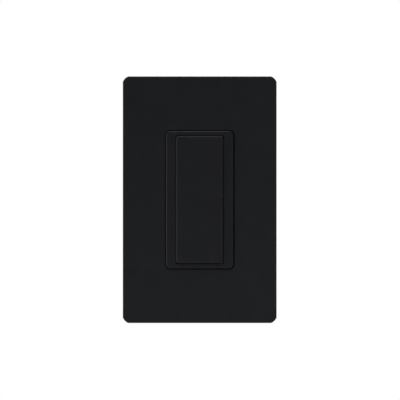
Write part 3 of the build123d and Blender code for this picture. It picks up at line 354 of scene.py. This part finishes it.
def turned(shape, profile, sides, place):
    """Adds an open-ended skin of revolution through (radius, height) points, and gives back its rings."""
    rings = [ring(shape, radius, height, sides, place) for radius, height in profile]
    for lower, upper in zip(rings, rings[1:]):
        stitch(shape, lower, upper)
    return rings


def brick(shape, low, high):
    """Adds a box between two corners."""
    corners = []
    for x in (low[0], high[0]):
        for y in (low[1], high[1]):
            corners += [shape.verts.new((x, y, z)) for z in (low[2], high[2])]
    for face in ((0, 1, 3, 2), (4, 6, 7, 5), (0, 4, 5, 1), (2, 3, 7, 6), (0, 2, 6, 4), (1, 5, 7, 3)):
        shape.faces.new([corners[index] for index in face])


def loose_object(name, shape):
    """An object made of a bmesh, before it becomes a piece or a cutter."""
    bmesh.ops.recalc_face_normals(shape, faces=shape.faces)
    mesh = bpy.data.meshes.new(name)
    shape.to_mesh(mesh)
    shape.free()
    made = bpy.data.objects.new(name, mesh)
    bpy.context.scene.collection.objects.link(made)
    return made


def piece(name, shape, material, body="frame", smooth=40):
    """Turns a bmesh into a piece that takes its finish from a slot and, given a body, rides on it."""
    made = loose_object(name, shape)
    mesh = made.data
    mesh.materials.append(materials[material].material)
    mesh.shade_smooth()
    mesh.set_sharp_from_angle(angle=math.radians(smooth))
    if body:
        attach(made, body)
    return made


def cut(target, cutter):
    """Subtracts one object from another for good, and removes the cutter."""
    step = target.modifiers.new("cut", "BOOLEAN")
    step.object = cutter
    step.operation = "DIFFERENCE"
    step.solver = "EXACT"
    step.use_self = True
    bpy.context.view_layer.update()
    result = bpy.data.meshes.new_from_object(target.evaluated_get(bpy.context.evaluated_depsgraph_get()))
    target.modifiers.remove(step)
    target.data = result
    bpy.data.objects.remove(cutter)


# ---------------------------------------------------------------- screws with real threads
# the points of a thread's section: each one's rise, as a part of the thread's depth, and its drop, as a
# part of the pitch
THREAD_PROFILE = ((0, 0.06), (1, 0.42), (1, 0.58), (0, 0.94))
THREAD_RUN_IN, THREAD_RUN_OUT = 0.7, 1.2  # turns over which the thread rises to its full depth and falls
THREAD_LEAST = 0.1  # its depth at either end, as a part of the full depth


def thread(shape, above, below, root, crest, pitch, top, bottom):
    """Winds a thread round the local Z axis and joins it to the ring above it and the ring below it."""
    sides = len(above)
    steps = int(((top - bottom) / pitch - 1) * sides)
    rows = []
    for step in range(steps + 1):
        turn = math.tau * step / sides
        fade = min(1.0, THREAD_LEAST + step / (THREAD_RUN_IN * sides),
                   THREAD_LEAST + (steps - step) / (THREAD_RUN_OUT * sides))
        row = []
        for rise, drop in THREAD_PROFILE:
            radius = root + (crest - root) * rise * fade
            height = top - pitch * (step / sides + drop)
            row.append(shape.verts.new((radius * math.cos(turn), radius * math.sin(turn), height)))
        rows.append(row)
    for step in range(steps):
        here, following = rows[step], rows[step + 1]
        for index in range(len(THREAD_PROFILE) - 1):
            shape.faces.new((here[index], following[index], following[index + 1], here[index + 1]))
        if step + sides < steps:
            shape.faces.new((here[-1], following[-1], rows[step + 1 + sides][0], rows[step + sides][0]))
    for step in range(sides):
        shape.faces.new((above[step], above[(step + 1) % sides], rows[step + 1][0], rows[step][0]))
        end = steps - sides + step
        shape.faces.new((rows[end][-1], rows[end + 1][-1], below[(end + 1) % sides], below[end % sides]))
    shape.faces.new((above[0], *rows[0], rows[sides][0]))
    shape.faces.new((below[steps % sides], *reversed(rows[steps]), rows[steps - sides][-1]))


def drive_recess(radius, depth, slotted=True):
    """Cutters for a cross recess that narrows inwards, and for a slot across the head if it has one."""
    reach, arm = 0.56 * radius, 0.13 * radius  # half the cross's length and width at the top
    narrowed = 0.62
    second_arm_depth = 0.97 * depth  # so that the two arms' floors don't coincide
    slot_reach, slot_half_width, slot_depth = 1.3 * radius, 0.11 * radius, 0.5 * depth
    cutters = []
    for turn, bottom in ((0, -depth), (90, -second_arm_depth)):
        shape = bmesh.new()
        rotation = Matrix.Rotation(math.radians(turn), 4, "Z")
        ends = []
        for narrowing, height in ((1.0, -0.25 * bottom), (narrowed, bottom)):
            end = []
            for side_x, side_y in ((-1, -1), (1, -1), (1, 1), (-1, 1)):
                corner = Vector((side_x * reach * narrowing, side_y * arm * narrowing, height))
                end.append(shape.verts.new(rotation @ corner))
            shape.faces.new(end)
            ends.append(end)
        stitch(shape, ends[0], ends[1])
        cutters.append(loose_object("recess", shape))
    if slotted:
        slot = bmesh.new()
        brick(slot, (-slot_reach, -slot_half_width, -slot_depth), (slot_reach, slot_half_width, 0.3 * depth))
        cutters.append(loose_object("slot", slot))
    return cutters


def threaded_screw(head, neck_radius, thread_top, tip, root, crest, pitch, recess, sides=36):
    """A screw along the local Z axis, as a mesh. Its head's profile runs from the top to the underside."""
    seam = root - 0.02 * MM  # a little inside the thread's root, so that no face beside it is flat
    point_start = tip + 0.5 * MM
    point = ((seam, point_start), (root - 0.45 * MM, tip + 0.05 * MM), (root - 0.5 * MM, tip))
    neck = ((neck_radius, head[-1][1]), (neck_radius, thread_top), (seam, thread_top))
    shape = bmesh.new()
    upper = turned(shape, (*head, *neck), sides, Matrix.Identity(4))
    shape.faces.new(upper[0])
    lower = turned(shape, point, sides, Matrix.Identity(4))
    shape.faces.new(lower[-1])
    thread(shape, upper[-1], lower[0], root, crest, pitch, thread_top, point_start)
    screw = loose_object("screw", shape)
    for cutter in recess:
        cut(screw, cutter)
    result = screw.data
    bpy.data.objects.remove(screw)
    return result


def pan_head(radius, height):
    """A pan head's profile, from near its axis, over its crown and down to its underside."""
    crown = 0.55 * height
    flat, steps = 0.55, 6  # the crown's flat top, as a part of the radius, and the points of its rounding
    edge = 0.1 * MM
    rounding = []
    for step in range(steps):
        angle = math.radians(18 * step)
        rounding.append((radius * (flat + (1 - flat) * math.sin(angle)), crown * (math.cos(angle) - 1)))
    return ((0.3 * radius, 0), *rounding, (radius, -height + edge), (radius - edge, -height))


def copies(mesh, places):
    """One bmesh with a copy of a mesh at each place."""
    shape = bmesh.new()
    for place in places:
        start = len(shape.verts)
        shape.from_mesh(mesh)
        shape.verts.ensure_lookup_table()
        for vertex in shape.verts[start:]:
            vertex.co = place @ vertex.co
    return shape


TO_FRONT = Matrix.Rotation(math.radians(90), 4, "X")  # turns the local Z axis to -Y
TO_REAR = Matrix.Rotation(math.radians(-90), 4, "X")  # turns the local Z axis to +Y
INCH_PITCH = 0.794 * MM  # 32 threads an inch


def screws_along_depth(node, heads, profile, recess_depth, slotted=True, **sizes):
    """Threaded screws in place of a CAD node's, along Y, with their heads to the front or rear."""
    places = []
    for low, high in islands(node):
        top = low.y if heads == TO_FRONT else high.y
        places.append(Matrix.Translation(((low.x + high.x) / 2, top, (low.z + high.z) / 2)) @ heads)
        length, radius = high.y - low.y, (high.x - low.x) / 2
    recess = drive_recess(radius, recess_depth, slotted)
    mesh = threaded_screw(profile(radius), tip=-length, recess=recess, **sizes)
    made = piece("threaded_" + node, copies(mesh, places), "screw_steel")
    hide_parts(node)


def countersunk_head(radius):
    """A flat countersunk head's profile, from near its axis down its cone."""
    edge = 0.05 * MM
    return ((0.3 * radius, 0), (radius - edge, 0), (radius, -edge), (1.7 * MM, -1.75 * MM))


def box_screws():
    """The two machine screws that hold the yoke to the wall box."""
    screws_along_depth("box_screws", TO_FRONT, lambda radius: pan_head(radius, 2.0 * MM), 1.4 * MM,
                       neck_radius=1.4 * MM, thread_top=-4.4 * MM, root=1.33 * MM, crest=1.75 * MM,
                       pitch=INCH_PITCH)


def adapter_screws():
    """The two countersunk screws that hold the wallplate's adapter to the yoke."""
    screws_along_depth("adapter_screws", TO_FRONT, countersunk_head, 1.25 * MM,
                       neck_radius=1.6 * MM, thread_top=-2.05 * MM, root=1.3 * MM, crest=1.69 * MM,
                       pitch=INCH_PITCH)


def enclosure_screws():
    """The four long screws that clamp the enclosure to the yoke. Only their ends are threaded."""
    screws_along_depth("enclosure_screws", TO_REAR, lambda radius: pan_head(radius, 1.6 * MM), 1.0 * MM,
                       slotted=False, neck_radius=1.08 * MM, thread_top=-23.0 * MM, root=0.86 * MM,
                       crest=1.1 * MM, pitch=0.5 * MM)


def board_screws():
    """The two screws that hold the front circuit board to the frame."""
    screws_along_depth("board_screws", TO_REAR, lambda radius: pan_head(radius, 1.1 * MM), 0.75 * MM,
                       slotted=False, neck_radius=0.7 * MM, thread_top=-1.6 * MM, root=0.58 * MM,
                       crest=0.82 * MM, pitch=0.6 * MM)


def terminal_screws():
    """The three screws whose clamps hold the wires, each left at a different turn."""
    first_turn, next_turn = 20, 25
    places = []
    for low, high in islands("terminal_screws"):
        side = 1 if low.x > 0 else -1
        outer = high.x if side > 0 else low.x
        centre = Vector((outer, (low.y + high.y) / 2, (low.z + high.z) / 2))
        outwards = Matrix.Rotation(side * math.radians(90), 4, "Y")
        turned_by = Matrix.Rotation(math.radians(first_turn + next_turn * len(places)), 4, "Z")
        places.append(Matrix.Translation(centre) @ outwards @ turned_by)
        length, radius = high.x - low.x, (high.y - low.y) / 2
    head_height = 2.4 * MM
    mesh = threaded_screw(pan_head(radius, head_height), 1.85 * MM, -head_height - 0.3 * MM, -length,
                          1.55 * MM, 1.98 * MM, INCH_PITCH, drive_recess(radius, 1.7 * MM))
    made = piece("threaded_terminal_screws", copies(mesh, places), "terminal_steel")
    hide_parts("terminal_screws")


def ground_screw():
    """The green hex washer-head screw in the yoke's bent tab."""
    low, high = islands("ground_screw")[0]
    centre = Vector((low.x, (low.y + high.y) / 2, (low.z + high.z) / 2))
    place = Matrix.Translation(centre) @ Matrix.Rotation(math.radians(-90), 4, "Y")
    length, washer = high.x - low.x, (high.z - low.z) / 2
    washer_top, washer_bottom = -1.8 * MM, -2.6 * MM
    collar_radius, collar_top = 2.6 * MM, -0.6 * MM
    collar = ((0.8 * MM, collar_top), (collar_radius, collar_top), (collar_radius, washer_top),
              (washer - 0.15 * MM, washer_top), (washer, washer_top - 0.2 * MM), (washer, washer_bottom))
    mesh = threaded_screw(collar, 1.8 * MM, washer_bottom - 0.2 * MM, -length, 1.45 * MM, 1.85 * MM,
                          INCH_PITCH, [])
    shape = copies(mesh, [Matrix.Identity(4)])
    hexagon_radius = 3.38 * MM  # to its corners
    hexagon = ((hexagon_radius - 0.35 * MM, 0), (hexagon_radius, -0.3 * MM),
               (hexagon_radius, washer_top + 0.02 * MM))
    rings = turned(shape, hexagon, 6, Matrix.Identity(4))
    shape.faces.new(rings[0])
    shape.faces.new(rings[-1])
    bmesh.ops.transform(shape, matrix=place, verts=shape.verts)
    made = piece("threaded_ground_screw", shape, "green_steel", smooth=30)
    groove_half = Vector((1 * MM, 4 * MM, 0.5 * MM))
    groove = bmesh.new()
    brick(groove, centre - groove_half, centre + groove_half)
    cut(made, loose_object("groove", groove))
    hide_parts("ground_screw")


box_screws()
adapter_screws()
enclosure_screws()
board_screws()
terminal_screws()
ground_screw()


# ---------------------------------------------------------------- label, solder and windings
def label_diagram():
    """The label's print, in raised ink: a frame, a wiring diagram of switch and lamp, and plain bars.

    Places on the label are in millimetres from its middle, with x to the right as seen from behind.
    """
    low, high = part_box("rating_label")
    ink = 0.012 * MM  # how far the ink stands out of the label, and how far it reaches into it
    centre_x, centre_z = (low.x + high.x) / 2, (low.z + high.z) / 2
    shape = bmesh.new()

    def line(x_low, z_low, x_high, z_high):
        brick(shape, (centre_x - x_high * MM, high.y - ink, centre_z + z_low * MM),
              (centre_x - x_low * MM, high.y + ink, centre_z + z_high * MM))

    def circle(x, radius):
        stroke = 0.25
        place = Matrix.Translation((centre_x - x * MM, high.y, centre_z)) @ TO_FRONT
        outer, inner = radius * MM, (radius - stroke) * MM
        rings = turned(shape, ((outer, -ink), (outer, ink), (inner, ink), (inner, -ink)), 40, place)
        stitch(shape, rings[-1], rings[0])

    width, height, rule = 11.6, 18.6, 0.3
    for side in (-1, 1):
        line(-width, min(side * height, side * (height - rule)),
             width, max(side * height, side * (height - rule)))
        line(min(side * width, side * (width - rule)), -height + rule,
             max(side * width, side * (width - rule)), height - rule)
    for divider in (10.8, -11.2):
        line(-width + rule, divider, width - rule, divider + 0.2)
    # the switch's outline
    for side in (-1, 1):
        line(-8.5, side * 5.0 - 0.12, 0.5, side * 5.0 + 0.12)
        line(-4.0 + side * 4.5 - 0.12, -4.88, -4.0 + side * 4.5 + 0.12, 4.88)
    # its contact: two terminals, the arm and the arm's tip
    circle(-6.3, 0.6)
    circle(-1.7, 0.6)
    line(-5.7, -0.12, -3.2, 0.12)
    line(-3.0, 0.5, -1.9, 0.75)
    # the lamp, with its cross
    circle(6.6, 2.0)
    line(4.95, -0.1, 8.25, 0.1)
    line(6.5, -1.65, 6.7, -0.1)
    line(6.5, 0.1, 6.7, 1.65)
    # the wires
    line(-1.1, -0.12, 4.6, 0.12)
    line(-10.4, -0.12, -6.9, 0.12)
    line(8.6, -0.12, 10.4, 0.12)
    line(10.16, -8.4, 10.4, -0.12)
    line(-4.1, -8.4, -3.9, -5.12)
    line(-3.9, -8.4, 10.16, -8.2)
    # plain bars in the panels above and below
    bar_start, bar_height, bar_spacing = -9.6, 0.6, 1.9
    for row, length in enumerate((16.0, 11.5, 13.5)):
        for first_bar, share in ((16.4, 1.0), (-13.6, 0.8)):
            foot = first_bar - bar_spacing * row
            line(bar_start, foot, bar_start + length * share, foot + bar_height)
    piece("label_diagram", shape, "label_ink")


ROUND_LEADS = ("header_pins", "relay_coil_pins", "choke_pins", "transformer_pins", "film_capacitor",
               "fusible_resistor", "varistor", "electrolytic_capacitors", "bridge_rectifier")
FLAT_LEADS = ("terminal_plates", "relay_yoke", "relay_fixed_contact", "air_gap_blades")
# how far a solder fillet spreads past its lead, and how high it stands on the board, in millimetres
SOLDER_PROFILE = ((0.5, -0.02), (0.3, 0.08), (0.16, 0.26), (0.07, 0.52), (0.0, 0.68), (-0.12, 0.7))


def grouped(points, reach):
    """The points, in groups whose members are each within reach of another, seen along Y."""
    groups = []
    while points:
        group, waiting = [], [points.pop()]
        while waiting:
            point = waiting.pop()
            group.append(point)
            near, far = [], []
            for other in points:
                close = math.hypot(other.x - point.x, other.z - point.z) < reach
                (near if close else far).append(other)
            points = far
            waiting += near
        groups.append(group)
    return groups


def lead_ends():
    """Each lead's end behind the power board, as (x, z, half its width, half its height)."""
    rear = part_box("power_board")[1].y + 0.7 * MM
    slice_depth = 0.3 * MM
    ends = []
    for name in ROUND_LEADS + FLAT_LEADS:
        reach = 0.75 * MM if name in ROUND_LEADS else 3.4 * MM
        vertices = frame["nodes"][name].data.vertices
        points = [vertex.co for vertex in vertices if rear < vertex.co.y < rear + slice_depth]
        for group in grouped(points, reach):
            x_low, x_high = min(point.x for point in group), max(point.x for point in group)
            z_low, z_high = min(point.z for point in group), max(point.z for point in group)
            middle = ((x_low + x_high) / 2, (z_low + z_high) / 2)
            ends.append((*middle, (x_high - x_low) / 2, (z_high - z_low) / 2))
    return sorted(ends)


def squared(value, power):
    """A cosine or sine pushed towards a square outline."""
    return math.copysign(abs(value) ** power, value)


def solder_joints():
    """A concave fillet of solder round each lead that comes through the power board."""
    board_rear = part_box("power_board")[1].y
    sides = 24
    shape = bmesh.new()
    for x, z, half_x, half_z in lead_ends():
        is_round = abs(half_x - half_z) < 0.05 * MM
        power = 1.0 if is_round else 0.5
        rings = []
        for spread, height in SOLDER_PROFILE:
            row = []
            for step in range(sides):
                turn = math.tau * step / sides
                across = (half_x + spread * MM) * squared(math.cos(turn), power)
                up = (half_z + spread * MM) * squared(math.sin(turn), power)
                row.append(shape.verts.new((x + across, board_rear + height * MM, z + up)))
            rings.append(row)
        for lower, upper in zip(rings, rings[1:]):
            stitch(shape, lower, upper)
        shape.faces.new(rings[0])
        shape.faces.new(rings[-1])
    piece("solder_joints", shape, "tinned_pin", smooth=60)


def wound(name, node, wire_radius, inner):
    """Round turns of wire on a core along Y, as one skin that rises and falls with each turn."""
    low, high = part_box(node)
    length = high.y - low.y
    outer = (high.x - low.x) / 2
    turns = int(length / (2 * wire_radius))
    pitch = length / turns
    profile = [(inner, 0.0)]
    for turn in range(turns):
        for angle in (20, 55, 90, 125, 160):
            rise = outer - wire_radius + wire_radius * math.sin(math.radians(angle))
            profile.append((rise, pitch * (turn + 0.5 - 0.5 * math.cos(math.radians(angle)))))
    profile.append((inner, length))
    place = Matrix.Translation(((low.x + high.x) / 2, high.y, (low.z + high.z) / 2)) @ TO_FRONT
    shape = bmesh.new()
    rings = turned(shape, profile, 48, place)
    stitch(shape, rings[-1], rings[0])
    made = piece(name, shape, "enamelled_wire", smooth=60)
    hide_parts(node)


# ---------------------------------------------------------------- silicone keypad
def keypad_outline(shape, low, high, depth):
    """A loop of vertices round the keypad's sheet at that depth, with rounded corners."""
    inset, corner, corner_steps = 0.12 * MM, 1.5 * MM, 8
    loop = []
    for quarter, (side_x, side_z) in enumerate(((1, 1), (-1, 1), (-1, -1), (1, -1))):
        centre_x = side_x * (high.x - inset - corner)
        centre_z = side_z * (high.z - corner)
        for step in range(corner_steps + 1):
            turn = math.radians(90) * (quarter + step / corner_steps)
            place = (centre_x + corner * math.cos(turn), depth, centre_z + corner * math.sin(turn))
            loop.append(shape.verts.new(place))
    return loop


def fill_between(shape, loops):
    """A flat face inside the first loop of vertices, with a hole at each of the others."""
    edges = []
    for loop in loops:
        for start, end in zip(loop, loop[1:] + loop[:1]):
            edges.append(shape.edges.get((start, end)) or shape.edges.new((start, end)))
    bmesh.ops.triangle_fill(shape, use_beauty=True, edges=edges)


def dome_profile(roof, base_front, rear, hole):
    """A dome's section as (radius, height): over its skirt, into the pill's hole and back underneath."""
    wall_steps = 7
    foot, lip = 0.62 * MM, 0.3 * MM
    ceiling = -roof - 1.0 * MM  # the underside of the dome's roof
    profile = [(4.6 * MM, -base_front), (4.56 * MM, -base_front + 0.28 * MM)]
    profile.append((4.36 * MM, -base_front + foot))
    for part in range(1, wall_steps):
        share = part / wall_steps
        rise = share * (base_front - foot - roof - lip)
        profile.append(((4.36 - 1.5 * share) * MM, -base_front + foot + rise))
    profile += [(2.72 * MM, -roof - 0.12 * MM), (2.5 * MM, -roof), (hole, -roof), (hole, -roof - 0.88 * MM)]
    profile += [(2.1 * MM, -roof - 0.88 * MM), (2.3 * MM, ceiling)]
    for part in range(1, wall_steps):
        share = part / wall_steps
        profile.append(((2.3 + 1.5 * share) * MM, ceiling - share * (base_front - roof - 1.0 * MM)))
    profile += [(4.0 * MM, -base_front - 0.1 * MM), (4.1 * MM, -rear)]
    return profile


def keypad():
    """The silicone sheet, with a dome under each end of the rocker."""
    low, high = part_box("silicone_keypad")
    base_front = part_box("control_board")[0].y - 1.0 * MM
    roof = low.y
    shape = bmesh.new()
    front_loops = [keypad_outline(shape, low, high, base_front)]
    rear_loops = [keypad_outline(shape, low, high, high.y)]
    stitch(shape, front_loops[0], rear_loops[0])
    for pill_low, pill_high in islands("contact_pills"):
        place = Matrix.Translation((0, 0, (pill_low.z + pill_high.z) / 2)) @ TO_FRONT
        hole = (pill_high.x - pill_low.x) / 2 * 0.45
        rings = turned(shape, dome_profile(roof, base_front, high.y, hole), 56, place)
        front_loops.append(rings[0])
        rear_loops.append(rings[-1])
    fill_between(shape, front_loops)
    fill_between(shape, rear_loops)
    made = piece("keypad_domes", shape, "silicone", body=None, smooth=50)
    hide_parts("silicone_keypad")
    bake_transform(made)


label_diagram()
solder_joints()
wound("relay_coil_turns", "relay_coil", 0.11 * MM, 2.75 * MM)
wound("choke_turns", "choke_winding", 0.2 * MM, 1.5 * MM)
keypad()


# ---------------------------------------------------------------- light, floor and camera
SKY_STRENGTH = 0.17
FLOOR_HEIGHT = -0.125
FLOOR_RADIUS = 0.36
VIEW_WIDTH = 0.19373  # what the picture spans at the wallplate's front
CAMERA_DISTANCE = 1.4
CAMERA_SHIFT = (0.000145, -0.00014)  # along X and Z
# each soft light's name, place, side and power in watts; all face the origin
SOFT_LIGHTS = (
    ("left_box", (-1.25, -0.42, 0.1), 0.9, 7.5),
    ("top_box", (-0.1, -0.42, 1.25), 1.1, 10.0),
    ("front_fill", (0.9, -1.5, -0.1), 0.9, 4.0),
    ("back_box", (0.35, 1.2, 0.7), 0.9, 9.0),
)


def look_at(thing, target):
    """Turns a light or a camera towards a point."""
    thing.rotation_mode = "QUATERNION"
    thing.rotation_quaternion = (Vector(target) - thing.location).to_track_quat("-Z", "Y")


def soft_light(name, place, side, power):
    """A square area light that faces the origin."""
    data = bpy.data.lights.new(name, "AREA")
    data.shape = "SQUARE"
    data.size = side
    data.energy = power
    lamp = bpy.data.objects.new(name, data)
    lamp.location = place
    bpy.context.scene.collection.objects.link(lamp)
    look_at(lamp, (0, 0, 0))


def white_surroundings():
    """White behind the object, and a dim grey sky that fills its shadows."""
    world = bpy.data.worlds.new("surroundings")
    bpy.context.scene.world = world
    world.use_nodes = True
    nodes, links = world.node_tree.nodes, world.node_tree.links
    nodes.clear()
    backdrop = nodes.new("ShaderNodeBackground")
    backdrop.inputs["Color"].default_value = (1, 1, 1, 1)
    fill = nodes.new("ShaderNodeBackground")
    fill.inputs["Color"].default_value = (0.9, 0.95, 1.0, 1)
    fill.inputs["Strength"].default_value = SKY_STRENGTH
    choose = nodes.new("ShaderNodeMixShader")
    seen = nodes.new("ShaderNodeLightPath")
    output = nodes.new("ShaderNodeOutputWorld")
    links.new(seen.outputs["Is Camera Ray"], choose.inputs[0])
    links.new(fill.outputs[0], choose.inputs[1])
    links.new(backdrop.outputs[0], choose.inputs[2])
    links.new(choose.outputs[0], output.inputs["Surface"])


def pale_floor():
    """A round pale floor whose rim glows with painted light, brightening it to white, so that it has no hard
    horizon.
    """
    mesh = bpy.data.meshes.new("floor")
    shape = bmesh.new()
    bmesh.ops.create_circle(shape, cap_ends=True, segments=96, radius=FLOOR_RADIUS)
    shape.to_mesh(mesh)
    shape.free()
    floor = bpy.data.objects.new("floor", mesh)
    floor.location.z = FLOOR_HEIGHT
    bpy.context.scene.collection.objects.link(floor)
    surface = Surface("pale_floor", (0.88, 0.88, 0.88), 0.8)
    surface.tint(surface.noise(40 * MM, 3), (0.86, 0.86, 0.86))
    # painted glow: the floor gives off white light, from none inside to its full strength at the rim
    surface.glow(surface.distance(), 0.62 * FLOOR_RADIUS, 0.99 * FLOOR_RADIUS, 0.42)
    mesh.materials.append(surface.material)


def front_camera():
    """A long lens, square to the wallplate."""
    data = bpy.data.cameras.new("camera")
    data.sensor_width = 36.0
    plate_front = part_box("wallplate_cover")[0].y
    data.lens = data.sensor_width * CAMERA_DISTANCE / VIEW_WIDTH
    data.clip_start, data.clip_end = 0.05, 20
    camera = bpy.data.objects.new("camera", data)
    camera.location = (CAMERA_SHIFT[0], plate_front - CAMERA_DISTANCE, CAMERA_SHIFT[1])
    bpy.context.scene.collection.objects.link(camera)
    look_at(camera, (camera.location.x, 0, camera.location.z))
    bpy.context.scene.camera = camera


white_surroundings()
pale_floor()
front_camera()
for light in SOFT_LIGHTS:
    soft_light(*light)
bpy.context.scene.view_settings.view_transform = "Standard"
